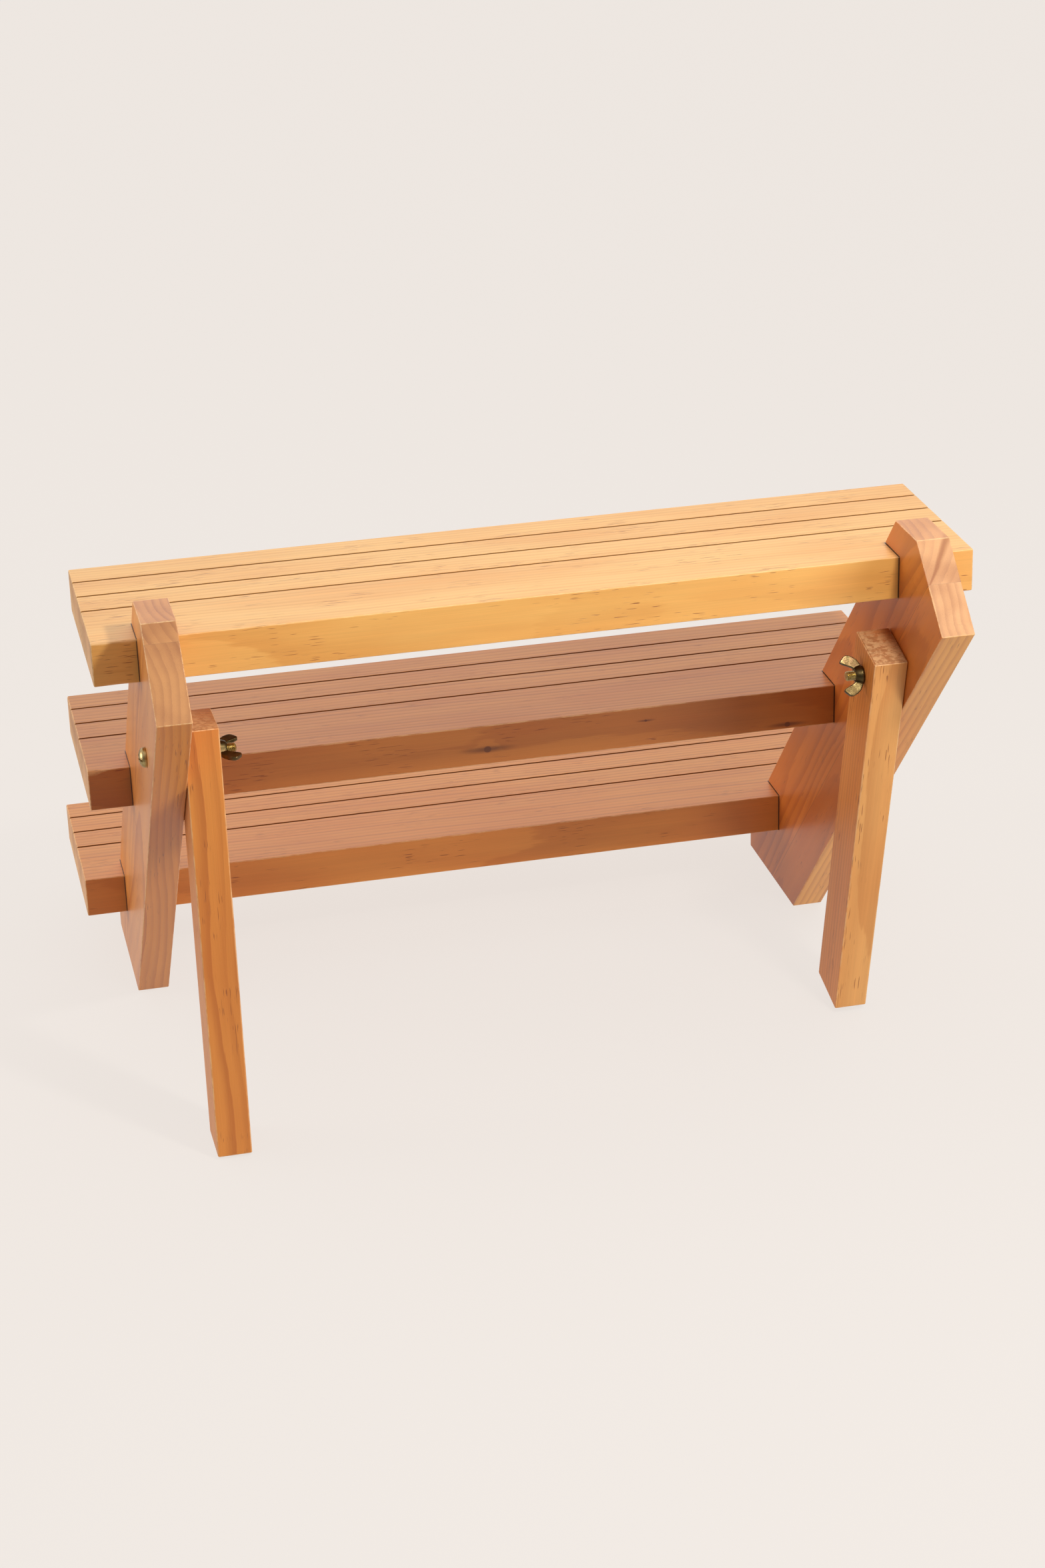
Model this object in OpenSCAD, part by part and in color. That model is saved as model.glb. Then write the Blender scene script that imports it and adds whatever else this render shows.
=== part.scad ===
// Three-tier slotted display rack with two swinging rear legs.
// Units are millimetres. +Z is up, the front (lowest tier) faces -Y, X runs along the tiers.
// The origin is on the floor, at the middle of the rack's footprint box.

/* [Tiers] */
// Length of every tier slat, end to end
slat_len = 520; // [420:5:700]
// Front-to-back width of a tier slat
slat_w = 125; // [110:1:150]
// Thickness of a tier slat
slat_t = 26; // [20:1:28]
// Length of slat that sticks out past each side board
slat_overhang = 26; // [15:1:45]
// Height of the top tier's upper face above the floor
top_tier_h = 323; // [310:1:325]
// Distance from one tier to the next, measured along the leaning boards
tier_pitch = 173; // [160:1:175]
// Small chamfer on the slats' long edges
slat_edge = 1; // [0.4:0.1:2]

/* [Card slots] */
// Width of each saw-kerf slot
kerf_w = 1.8; // [1:0.1:3.5]
// Depth of each slot
kerf_depth = 6; // [3:0.5:12]
// Distance from the slat's front edge to the first slot
kerf_first = 23; // [15:0.5:28]
// Distance between neighbouring slots
kerf_pitch = 24.6; // [15:0.2:26]

/* [Side boards] */
// Thickness of a side board
board_t = 20; // [16:1:26]
// Width of a side board, across its length
board_w = 90; // [86:1:105]
// Lean of the boards, from vertical
lean = 42.5; // [40:0.5:44]
// Height of the flat top of a board above the floor
board_h = 343; // [338:1:348]
// Length of the flat cut on top of a board
top_flat = 36.6; // [30:0.2:42]
// Height of the upright cut at the toe
toe_h = 23; // [15:1:30]
// Distance from the front edge to the glue seam of the left board's two staves
seam_in_left = 56; // [48:1:60]
// Distance from the front edge to the glue seam of the right board's two staves
seam_in_right = 40; // [40:1:60]
// How far a slat sits into its notch, at its top face
notch_in = 26; // [20:1:28]
// Gap left behind each slat in its notch
notch_gap = 0.8; // [0.3:0.1:1.5]

/* [Legs] */
// Thickness of a leg along X
leg_t = 20.5; // [16:0.5:25]
// Width of a leg, front to back
leg_w = 36; // [30:1:42]
// Leg length below the pivot bolt
leg_down = 250; // [240:1:255]
// Leg length above the pivot bolt
leg_up = 19; // [14:1:24]
// Distance from the board's rear edge to the pivot bolt
bolt_in = 23; // [19:0.5:25]
// Angle at which the left leg stands, forward from upright
leg_left_set = 14; // [0:0.5:25]
// Angle at which the right leg stands, forward from upright
leg_right_set = -3; // [-10:0.5:10]
// Small chamfer on the legs' long edges
leg_edge = 0.8; // [0.4:0.1:1.5]

/* [Hardware] */
// Thread diameter of the pivot bolts
thread_d = 6; // [5:0.5:6]
// Length of a bolt under its head
bolt_len = 51.5; // [51:0.5:60]
// Diameter of the round bolt head
head_d = 11.8; // [10:0.2:14]
// Height of the round bolt head
head_h = 4.4; // [3:0.2:5]
// Wing span of a wing nut
wing_span = 25; // [22:1:28]
// Turn of the left wing nut's ears about the bolt, from upright
wing_left_set = 35; // [-180:5:180]
// Turn of the right wing nut's ears about the bolt, from upright
wing_right_set = 80; // [-180:5:180]
// Diameter of the dowels that pin the slats to the boards
dowel_d = 8; // [6:1:10]
// Length of a dowel
dowel_len = 30; // [24:1:32]

/* [View] */
// Which piece to draw

/* [Hidden] */
$fn = 64;

pine_light = [0.86, 0.62, 0.38];
pine_mid = [0.78, 0.52, 0.3];
pine_dark = [0.68, 0.42, 0.24];
zinc_gold = [0.72, 0.62, 0.34];
beech = [0.82, 0.66, 0.45];

// Leaning directions
tl = tan(lean);
cl = cos(lean);
sl = sin(lean);

// Tier heights
step_z = tier_pitch * cl;
tier_z = [top_tier_h, top_tier_h - step_z, top_tier_h - 2 * step_z];

// Side board outline, first with its front edge meeting the floor at y = 0
chamfer_len = board_w - top_flat * cl;
raw_top_y = board_h * tl;
raw_rear_y = raw_top_y + top_flat + cl * chamfer_len;
raw_front_y = tier_z[2] * tl + notch_in - slat_w;
y0 = -(raw_rear_y + raw_front_y) / 2;

// Height and depth of the pivot bolts: the right leg's foot corner rests on the floor
pivot_z = leg_down * cos(leg_right_set) + leg_w / 2 * abs(sin(leg_right_set));
pivot_y = y0 + pivot_z * tl + (board_w - bolt_in) / cl;

frame_w = slat_len - 2 * slat_overhang;
play = 0.3;
notch_play = 0.2;
board_hole_d = thread_d + 0.4;
leg_hole_d = thread_d + 0.1;
nut_hole_d = thread_d + 0.1;
nut_h = 5;
nut_x = board_t + play + leg_t + 0.1;
thread_pitch = 1;
plain_len = board_t + play + leg_t - 4.8;

// Points on the leaning lines
function front_y(z) = y0 + z * tl;
function seam_in(side) = side > 0 ? seam_in_right : seam_in_left;
function seam_y(z, side) = front_y(z) + seam_in(side) / cl;
function seam_run(side) = seam_in(side) - top_flat * cl;
function rear_y(z) = front_y(z) + board_w / cl;
function slat_rear_y(i) = front_y(tier_z[i]) + notch_in;

top_a = [front_y(board_h), board_h];
top_e = [front_y(board_h) + top_flat, board_h];
top_f = [top_e[0] + cl * chamfer_len, board_h - sl * chamfer_len];

// Where the seam meets the square-cut top end
function top_s(side) = [top_e[0] + cl * seam_run(side), board_h - sl * seam_run(side)];

// Corners of one notch, from its floor to its upper side
function notch_points(i) = [
    [front_y(tier_z[i] - slat_t), tier_z[i] - slat_t],
    [slat_rear_y(i) + notch_gap, tier_z[i] - slat_t],
    [slat_rear_y(i) + notch_gap, tier_z[i] + notch_play],
    [front_y(tier_z[i] + notch_play), tier_z[i] + notch_play]
];

// Draws a (y, z) outline as a solid that runs along +X from x = 0
module along_x(length) {
    rotate([90, 0, 90])
        linear_extrude(height = length)
            children();
}

// Cross-section of a tier slat: rear top corner at the origin, front towards -Y
module slat_outline() {
    e = slat_edge;
    k = kerf_w / 2;
    front = -slat_w;
    kerfs = [for (n = [0:2]) front + kerf_first + n * kerf_pitch];
    upper = [for (c = kerfs, p = [[-k, 0], [-k, -kerf_depth], [k, -kerf_depth], [k, 0]]) [c + p[0], p[1]]];
    polygon(concat(
        [[0, -slat_t + e], [-e, -slat_t], [front + e, -slat_t], [front, -slat_t + e]],
        [[front, -e], [front + e, 0]],
        upper,
        [[-e, 0], [0, -e]]
    ));
}

module slat_at(i) {
    y = slat_rear_y(i);
    z = tier_z[i];
    difference() {
        translate([-slat_len / 2, y, z])
            along_x(slat_len)
                slat_outline();
        for (s = [-1, 1])
            translate([s * (frame_w - board_t) / 2, y + 1, z - slat_t / 2])
                rotate([90, 0, 0])
                    cylinder(d = dowel_d + 0.1, h = dowel_len / 2 + 2);
    }
}

module slat_top() {
    color(pine_light)
        slat_at(0);
}

module slat_middle() {
    color(pine_mid)
        slat_at(1);
}

module slat_bottom() {
    color(pine_mid)
        slat_at(2);
}

// Front stave: carries the three notches, the toe and the flat top
module front_stave_outline(side) {
    polygon(concat(
        [[seam_y(0, side), 0], [front_y(toe_h), 0], [front_y(toe_h), toe_h]],
        notch_points(2),
        notch_points(1),
        notch_points(0),
        [top_a, top_e, top_s(side)]
    ));
}

// Rear stave: plain strip with the square-cut top end and the flat foot
module rear_stave_outline(side) {
    polygon([[rear_y(0), 0], [seam_y(0, side), 0], top_s(side), top_f]);
}

// Blind holes for the dowels, reaching back from the notches
module dowel_holes(side) {
    for (i = [0:2])
        translate([side * (frame_w - board_t) / 2, slat_rear_y(i) - 1, tier_z[i] - slat_t / 2])
            rotate([-90, 0, 0])
                cylinder(d = dowel_d + 0.1, h = dowel_len / 2 + 2);
}

module front_stave(side) {
    difference() {
        translate([side * frame_w / 2 - (side > 0 ? board_t : 0), 0, 0])
            along_x(board_t)
                front_stave_outline(side);
        dowel_holes(side);
    }
}

module rear_stave(side) {
    difference() {
        translate([side * frame_w / 2 - (side > 0 ? board_t : 0), 0, 0])
            along_x(board_t)
                rear_stave_outline(side);
        dowel_holes(side);
        translate([side * (frame_w - board_t) / 2, pivot_y, pivot_z])
            rotate([0, 90, 0])
                cylinder(d = board_hole_d, h = board_t + 2, center = true);
    }
}

module side_board_left_front_stave() {
    color(pine_mid)
        front_stave(-1);
}

module side_board_left_rear_stave() {
    color(pine_dark)
        rear_stave(-1);
}

module side_board_right_front_stave() {
    color(pine_mid)
        front_stave(1);
}

module side_board_right_rear_stave() {
    color(pine_dark)
        rear_stave(1);
}

// Leg standing upright, with its pivot at the origin and its thickness along +X
module leg_blank() {
    e = leg_edge;
    w = leg_w / 2;
    translate([0, 0, -leg_down])
        linear_extrude(height = leg_down + leg_up)
            polygon([
                [e, -w], [leg_t - e, -w], [leg_t, -w + e], [leg_t, w - e],
                [leg_t - e, w], [e, w], [0, w - e], [0, -w + e]
            ]);
}

// A positive set angle brings the foot forward, towards -Y
module leg(side, set_angle) {
    translate([side * (frame_w / 2 - board_t - play), pivot_y, pivot_z])
        rotate([-set_angle, 0, 0])
            difference() {
                translate([side > 0 ? -leg_t : 0, 0, 0])
                    leg_blank();
                rotate([0, 90, 0])
                    cylinder(d = leg_hole_d, h = 3 * leg_t, center = true);
            }
}

module leg_left() {
    color(pine_light)
        leg(-1, leg_left_set);
}

module leg_right() {
    color(pine_light)
        leg(1, leg_right_set);
}

// Round head with a driving slot and a short cross slot
module bolt_head() {
    rim = 1.2;
    rise = head_h - rim;
    steps = 10;
    difference() {
        rotate_extrude()
            polygon(concat(
                [[0, 0], [head_d / 2, 0], [head_d / 2, -rim]],
                [for (n = [1:steps]) [head_d / 2 * cos(90 * n / steps), -rim - rise * sin(90 * n / steps)]]
            ));
        translate([0, 0, -head_h])
            cube([head_d + 2, 1.4, 3.6], center = true);
        translate([0, 0, -head_h])
            cube([1.4, 5.6, 3.6], center = true);
    }
}

// Plain shank from inside the head, then ring-shaped thread crests up to the bevelled tip
module bolt_shank() {
    lap = 0.5;
    r = thread_d / 2;
    root = r - 0.55;
    teeth = floor((bolt_len - plain_len - 1) / thread_pitch);
    start = bolt_len - 1 - teeth * thread_pitch;
    tooth = [[root, 0], [r, 0.42], [r, 0.58]];
    ridge = [for (n = [0:teeth - 1], p = tooth) [p[0], start + (n + p[1]) * thread_pitch]];
    rotate_extrude()
        polygon(concat(
            [[0, -lap], [r, -lap], [r, start - 0.5]],
            ridge,
            [[root, bolt_len - 1], [root, bolt_len - 0.4], [root - 0.5, bolt_len], [0, bolt_len]]
        ));
}

// Bolt along +X: the head's underside is at x = 0 and the head points to -X
module bolt() {
    rotate([0, 90, 0])
        union() {
            bolt_head();
            bolt_shank();
        }
}

module bolt_left() {
    color(zinc_gold)
        translate([-frame_w / 2, pivot_y, pivot_z])
            bolt();
}

module bolt_right() {
    color(zinc_gold)
        translate([frame_w / 2, pivot_y, pivot_z])
            mirror([1, 0, 0])
                bolt();
}

module ear_outline() {
    s = wing_span / 2;
    polygon([
        [2.4, 0.5], [s - 6.3, 0.6], [s - 3.5, 2.2], [s - 1.3, 4.6], [s - 0.2, 7],
        [s, 8.8], [s - 0.5, 9.9], [s - 2.1, 11.6], [s - 3.3, 12.6], [s - 4.2, 12.7],
        [s - 5, 11.8], [s - 5.9, 10], [s - 6.9, 7.6], [s - 8.1, 5.6], [2.4, 4.8]
    ]);
}

// Wing nut with its seat at x = 0 and its ears pointing to +X
module wing_nut() {
    ear_t = 2.4;
    rotate([0, 90, 0])
        difference() {
            union() {
                rotate_extrude()
                    polygon([
                        [0, 0], [5.4, 0], [5.5, 0.4], [5.4, 1.4], [4.8, 3.6],
                        [4.4, nut_h - 0.3], [4, nut_h], [0, nut_h]
                    ]);
                for (a = [0, 180])
                    rotate([0, 0, a])
                        translate([0, ear_t / 2, 0])
                            rotate([90, 0, 0])
                                linear_extrude(height = ear_t)
                                    ear_outline();
            }
            cylinder(d = nut_hole_d, h = 3 * nut_h, center = true);
        }
}

module wing_nut_left() {
    color(zinc_gold)
        translate([-frame_w / 2 + nut_x, pivot_y, pivot_z])
            rotate([wing_left_set, 0, 0])
                wing_nut();
}

module wing_nut_right() {
    color(zinc_gold)
        translate([frame_w / 2 - nut_x, pivot_y, pivot_z])
            rotate([wing_right_set, 0, 0])
                mirror([1, 0, 0])
                    wing_nut();
}

// Dowel that crosses from a slat's rear face into the board behind it
module dowel(i, side) {
    c = 0.8;
    color(beech)
        translate([side * (frame_w - board_t) / 2, slat_rear_y(i) + notch_gap / 2, tier_z[i] - slat_t / 2])
            rotate([90, 0, 0])
                union() {
                    cylinder(d = dowel_d, h = dowel_len - 2 * c, center = true);
                    translate([0, 0, dowel_len / 2 - c])
                        cylinder(d1 = dowel_d, d2 = dowel_d - 2 * c, h = c);
                    translate([0, 0, -dowel_len / 2])
                        cylinder(d1 = dowel_d - 2 * c, d2 = dowel_d, h = c);
                }
}

module dowel_top_left() {
    dowel(0, -1);
}

module dowel_top_right() {
    dowel(0, 1);
}

module dowel_middle_left() {
    dowel(1, -1);
}

module dowel_middle_right() {
    dowel(1, 1);
}

module dowel_bottom_left() {
    dowel(2, -1);
}

module dowel_bottom_right() {
    dowel(2, 1);
}

slat_top();
slat_middle();
slat_bottom();
side_board_left_front_stave();
side_board_left_rear_stave();
side_board_right_front_stave();
side_board_right_rear_stave();
leg_left();
leg_right();
bolt_left();
bolt_right();
wing_nut_left();
wing_nut_right();
dowel_top_left();
dowel_top_right();
dowel_middle_left();
dowel_middle_right();
dowel_bottom_left();
dowel_bottom_right();
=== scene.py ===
"""Looks of the three-tier slotted display rack: varnished pine, yellow-zinc hardware, pale studio.

Lengths are millimetres, or metres where a name ends in _m or _M. Meshes are scaled to metres when made.
Every plank is built in its own frame: X runs along the grain, Y across the width, Z through the thickness.
"""

import math

import bmesh
import bpy
from mathutils import Matrix, Vector, noise


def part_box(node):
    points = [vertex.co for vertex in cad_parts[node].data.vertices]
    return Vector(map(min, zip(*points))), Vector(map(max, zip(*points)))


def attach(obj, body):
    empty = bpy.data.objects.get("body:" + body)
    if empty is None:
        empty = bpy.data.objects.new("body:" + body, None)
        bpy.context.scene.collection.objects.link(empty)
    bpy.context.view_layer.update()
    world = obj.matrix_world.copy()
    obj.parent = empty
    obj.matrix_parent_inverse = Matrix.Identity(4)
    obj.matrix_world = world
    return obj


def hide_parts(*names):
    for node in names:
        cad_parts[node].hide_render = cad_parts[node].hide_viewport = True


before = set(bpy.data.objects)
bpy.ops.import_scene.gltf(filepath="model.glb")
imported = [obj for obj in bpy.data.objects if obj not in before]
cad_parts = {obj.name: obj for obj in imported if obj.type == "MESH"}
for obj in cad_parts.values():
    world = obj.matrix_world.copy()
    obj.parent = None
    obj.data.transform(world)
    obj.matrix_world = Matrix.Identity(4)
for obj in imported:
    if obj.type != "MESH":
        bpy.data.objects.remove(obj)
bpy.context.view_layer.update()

MM = 0.001

# Driving sizes, as the CAD part has them
SLAT_W = 125
SLAT_T = 26
SLAT_LEN = 520
SLAT_OVERHANG = 26
NOTCH_IN = 26
KERF_W = 1.8
KERF_DEPTH = 6
KERF_FIRST = 23
KERF_PITCH = 24.6
KERF_COUNT = 3
BOARD_T = 20
BOARD_W = 90
BOARD_LEAN = math.radians(42.5)
SEAM_IN_LEFT = 56
SEAM_IN_RIGHT = 40
LEG_T = 20.5
LEG_W = 36
LEG_DOWN = 250
LEG_UP = 19
LEG_LEFT_SET = math.radians(14)
LEG_RIGHT_SET = math.radians(-3)
THREAD_D = 6
THREAD_PITCH = 1
THREAD_LEN = 17
BOLT_LEN = 51.5
HEAD_D = 11.8
HEAD_H = 4.4
WING_SPAN = 25
NUT_H = 5
WING_LEFT_SET = math.radians(35)
WING_RIGHT_SET = math.radians(80)
DOWEL_D = 8
DOWEL_LEN = 30

# Sizes of the finer shapes that only this script has
STAVE_EDGE = 0.6
SLAT_EDGE = 0.75
LEG_EDGE = 0.9
STICK_END = 0.8
KERF_LIP = 0.22
KERF_FOOT = 0.2
ARC_STEPS = 4
PLAIN_ARC_STEPS = 2
PLAIN_ARC = 0.3
END_STEPS = 3
SLAT_STATION = 4
LEG_STATION = 5
BORE_SLACK = 0.05
DOWEL_SLACK = 0.1

# How bare of varnish the rounded edges are, and how strongly a painted highlight runs along them, from 0 to 1
WORN_AND_HIGHLIT_STAVE = 0.9
WORN_AND_HIGHLIT_END = 0.9
WORN_AND_HIGHLIT_SLAT = 0.9
WORN_AND_HIGHLIT_SLAT_REAR_TOP = 1.0
WORN_AND_HIGHLIT_LEG = 1.0
WORN_AND_HIGHLIT_KERF = 0.35


# ---------------------------------------------------------------- places

def middle(node):
    """Centre of a CAD node's box, in millimetres."""
    low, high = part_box(node)
    return (low + high) / 2 / MM


def plank_frame(origin, along, across):
    """Matrix in millimetres with X along the grain, Y across the width, Z through the thickness."""
    x = Vector(along).normalized()
    y = Vector(across).normalized()
    z = x.cross(y)
    turn = Matrix((x, y, z)).transposed().to_4x4()
    return Matrix.Translation(origin) @ turn


def leaning(angle):
    """Directions up along a leaning plank and across it towards the rear."""
    along = Vector((0, math.sin(angle), math.cos(angle)))
    across = Vector((0, math.cos(angle), -math.sin(angle)))
    return along, across


# ---------------------------------------------------------------- mesh helpers

def finish_mesh(name, bm, sharp_deg=32):
    """Turns a bmesh in millimetres into a softly shaded object in metres, still in its own frame."""
    mesh = bpy.data.meshes.new(name)
    bmesh.ops.recalc_face_normals(bm, faces=bm.faces)
    bm.transform(Matrix.Scale(MM, 4))
    bm.to_mesh(mesh)
    bm.free()
    mesh.shade_smooth()
    mesh.set_sharp_from_angle(angle=math.radians(sharp_deg))
    piece = bpy.data.objects.new(name, mesh)
    bpy.context.scene.collection.objects.link(piece)
    return piece


def set_in_place(piece, place):
    """Moves a finished piece's mesh to its place in the rack, and keeps where each point was before.

    The object itself stays at the origin, so its box is its true box. The materials read the kept points, so
    the grain follows the plank at any lean and stays with a leg that swings.
    """
    kept = piece.data.attributes.new("plank", "FLOAT_VECTOR", "POINT")
    for i, vert in enumerate(piece.data.vertices):
        kept.data[i].vector = vert.co / MM
    scaled = place.copy()
    scaled.translation = place.translation * MM
    piece.data.transform(scaled)


def weigh_normals(piece):
    """Keeps the flat faces looking flat beside their narrow rounded edges."""
    weighted = piece.modifiers.new("even shading", "WEIGHTED_NORMAL")
    weighted.keep_sharp = True
    weighted.weight = 80


def fillet(corners, steps):
    """Rounds the corners of an outline. Each corner is (x, y, radius, wear and painted highlight).

    Returns points (x, y, edge), where edge is the corner's wear and painted highlight in the middle of its
    arc and 0 at the ends.
    """
    points = []
    count = len(corners)
    for i, (x, y, radius, wear_and_highlight) in enumerate(corners):
        here = Vector((x, y))
        back = (Vector(corners[i - 1][:2]) - here).normalized()
        ahead = (Vector(corners[(i + 1) % count][:2]) - here).normalized()
        half = back.angle(ahead) / 2
        start = here + back * (radius / math.tan(half))
        stop = here + ahead * (radius / math.tan(half))
        n = steps if radius > PLAIN_ARC else PLAIN_ARC_STEPS
        for k in range(n + 1):
            t = k / n
            p = start * (1 - t) ** 2 + here * 2 * t * (1 - t) + stop * t ** 2
            points.append((p.x, p.y, wear_and_highlight * math.sin(math.pi * t)))
    return points


def inset(corners, depth):
    """Moves an outline's straight sides inwards by depth. Corners run anticlockwise or clockwise alike."""
    count = len(corners)
    spots = [Vector(c[:2]) for c in corners]
    area = sum(spots[i - 1].cross(spots[i]) for i in range(count))
    side = 1 if area > 0 else -1
    moved = []
    for i, (x, y, radius, wear_and_highlight) in enumerate(corners):
        coming = (spots[i] - spots[i - 1]).normalized()
        going = (spots[(i + 1) % count] - spots[i]).normalized()
        first = Vector((-coming.y, coming.x)) * side
        second = Vector((-going.y, going.x)) * side
        shift = (first + second) * (depth / (1 + first.dot(second)))
        moved.append((x + shift.x, y + shift.y, radius, wear_and_highlight))
    return moved


def loft(name, stations):
    """Solid through outlines stacked along X. Each station is (x, points, edge added to the whole ring)."""
    bm = bmesh.new()
    edge_layer = bm.verts.layers.float.new("edge")
    rings = []
    for x, points, added in stations:
        ring = []
        for y, z, edge in points:
            vert = bm.verts.new((x, y, z))
            vert[edge_layer] = min(1, edge + added)
            ring.append(vert)
        rings.append(ring)
    for lower, upper in zip(rings, rings[1:]):
        for i in range(len(lower)):
            j = (i + 1) % len(lower)
            bm.faces.new((lower[i], lower[j], upper[j], upper[i]))
    bm.faces.new(rings[0])
    bm.faces.new(rings[-1])
    return finish_mesh(name, bm)


def stick_stations(low, high, corners_at, end_round, spacing):
    """Stations for loft(): even ones along the stick, and rounded edges at both ends."""
    ends = []
    for k in range(END_STEPS):
        t = math.pi / 2 * k / END_STEPS
        worn_and_highlit = WORN_AND_HIGHLIT_END if k else 0
        ends.append((end_round * (1 - math.cos(t)), end_round * (1 - math.sin(t)), worn_and_highlit))
    stations = [(low + along, fillet(inset(corners_at(low), depth), ARC_STEPS), worn_and_highlit)
                for along, depth, worn_and_highlit in ends]
    first = low + end_round
    last = high - end_round
    count = max(2, round((last - first) / spacing))
    for k in range(count + 1):
        x = first + (last - first) * k / count
        stations.append((x, fillet(corners_at(x), ARC_STEPS), 0))
    stations += [(high - along, fillet(inset(corners_at(high), depth), ARC_STEPS), worn_and_highlit)
                 for along, depth, worn_and_highlit in reversed(ends)]
    return stations


def edge_wander(x, seed):
    """How much a hand-sanded edge's radius changes along its length, around 1."""
    slow_wave, quick_wave = 34, 7
    slow_part, quick_part = 0.25, 0.12
    least = 0.6
    slow = noise.noise(Vector((x / slow_wave, seed, 0)))
    quick = noise.noise(Vector((x / quick_wave, seed, 9)))
    return max(least, 1 + slow_part * slow + quick_part * quick)


def drill(piece, holes):
    """Cuts round holes. Each hole is (centre, direction, radius, length) in the piece's own millimetres."""
    cutter_bm = bmesh.new()
    for centre, direction, radius, length in holes:
        turn = Vector((0, 0, 1)).rotation_difference(Vector(direction)).to_matrix().to_4x4()
        bmesh.ops.create_cone(cutter_bm, cap_ends=True, segments=40, radius1=radius, radius2=radius,
                              depth=length, matrix=Matrix.Translation(centre) @ turn)
    carve(piece, finish_mesh(piece.name + "_cutter", cutter_bm))


def carve(piece, cutter, crossing=False):
    """Subtracts cutter from piece for good, and removes it. crossing says that the cutter meets itself."""
    cut = piece.modifiers.new("cut", "BOOLEAN")
    cut.operation = "DIFFERENCE"
    cut.solver = "EXACT"
    cut.use_self = crossing
    cut.object = cutter
    bake_modifiers(piece)
    bpy.data.objects.remove(cutter)


def bake_modifiers(piece):
    """Replaces a piece's mesh by what its modifiers make of it."""
    bpy.context.view_layer.update()
    evaluated = piece.evaluated_get(bpy.context.evaluated_depsgraph_get())
    mesh = bpy.data.meshes.new_from_object(evaluated)
    piece.modifiers.clear()
    piece.data = mesh


# ---------------------------------------------------------------- materials

def srgb(r, g, b):
    """A colour given as 0-255 display values, for a colour socket."""
    def linear(v):
        v = v / 255
        return v / 12.92 if v <= 0.04045 else ((v + 0.055) / 1.055) ** 2.4
    return (linear(r), linear(g), linear(b), 1)


class Paint:
    """One procedural material, built by short calls that return sockets."""

    def __init__(self, name):
        self.material = bpy.data.materials.new(name)
        self.material.use_nodes = True
        self.tree = self.material.node_tree
        self.tree.nodes.clear()
        self.shader = self.node("ShaderNodeBsdfPrincipled")
        out = self.node("ShaderNodeOutputMaterial")
        self.tree.links.new(self.shader.outputs[0], out.inputs[0])

    def node(self, kind):
        return self.tree.nodes.new(kind)

    def put(self, socket, value):
        if isinstance(value, bpy.types.NodeSocket):
            self.tree.links.new(value, socket)
        else:
            socket.default_value = value

    def math(self, operation, a, b=0.0, clamp=False):
        n = self.node("ShaderNodeMath")
        n.operation = operation
        n.use_clamp = clamp
        self.put(n.inputs[0], a)
        self.put(n.inputs[1], b)
        return n.outputs[0]

    def times(self, a, b):
        return self.math("MULTIPLY", a, b)

    def plus(self, a, b):
        return self.math("ADD", a, b)

    def minus(self, a, b):
        return self.math("SUBTRACT", a, b)

    def vector(self, operation, a, b=(0, 0, 0)):
        n = self.node("ShaderNodeVectorMath")
        n.operation = operation
        self.put(n.inputs[0], a)
        self.put(n.inputs[1], b)
        return n.outputs["Value"] if operation in ("LENGTH", "DISTANCE", "DOT_PRODUCT") else n.outputs[0]

    def mix(self, factor, a, b, blend="MIX"):
        n = self.node("ShaderNodeMix")
        n.data_type = "RGBA"
        n.blend_type = blend
        self.put(n.inputs[0], factor)
        self.put(n.inputs[6], a)
        self.put(n.inputs[7], b)
        return n.outputs[2]

    def stain(self, colour, other, mask, strength):
        """colour, turned towards other by up to strength where mask is 1."""
        return self.mix(self.times(mask, strength), colour, other)

    def ease(self, value, low, high):
        """0 below low, 1 above high, smooth between. low may be above high."""
        n = self.node("ShaderNodeMapRange")
        n.interpolation_type = "SMOOTHSTEP"
        self.put(n.inputs["Value"], value)
        flip = low > high
        n.inputs["From Min"].default_value = high if flip else low
        n.inputs["From Max"].default_value = low if flip else high
        n.inputs["To Min"].default_value = 1 if flip else 0
        n.inputs["To Max"].default_value = 0 if flip else 1
        return n.outputs["Result"]

    def noise(self, vector, detail=2.0, rough=0.5, colour=False):
        n = self.node("ShaderNodeTexNoise")
        n.inputs["Scale"].default_value = 1
        n.inputs["Detail"].default_value = detail
        n.inputs["Roughness"].default_value = rough
        self.put(n.inputs["Vector"], vector)
        return n.outputs["Color"] if colour else n.outputs["Fac"]

    def pattern(self, place, rate, detail=2.0, rough=0.5):
        """Noise from 0 to 1 over place, as quick along each axis as rate says."""
        return self.noise(self.vector("MULTIPLY", place, rate), detail, rough)

    def parts(self, vector):
        n = self.node("ShaderNodeSeparateXYZ")
        self.put(n.inputs[0], vector)
        return n.outputs

    def attribute(self, name):
        n = self.node("ShaderNodeAttribute")
        n.attribute_name = name
        return n.outputs["Fac"]

    def kept_place(self):
        """Where a point was in its plank's own frame, in millimetres."""
        kept = self.node("ShaderNodeAttribute")
        kept.attribute_name = "plank"
        return kept.outputs["Vector"]

    def bump(self, height, distance_m, strength):
        n = self.node("ShaderNodeBump")
        n.inputs["Distance"].default_value = distance_m
        n.inputs["Strength"].default_value = strength
        self.put(n.inputs["Height"], height)
        self.put(self.shader.inputs["Normal"], n.outputs[0])


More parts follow.
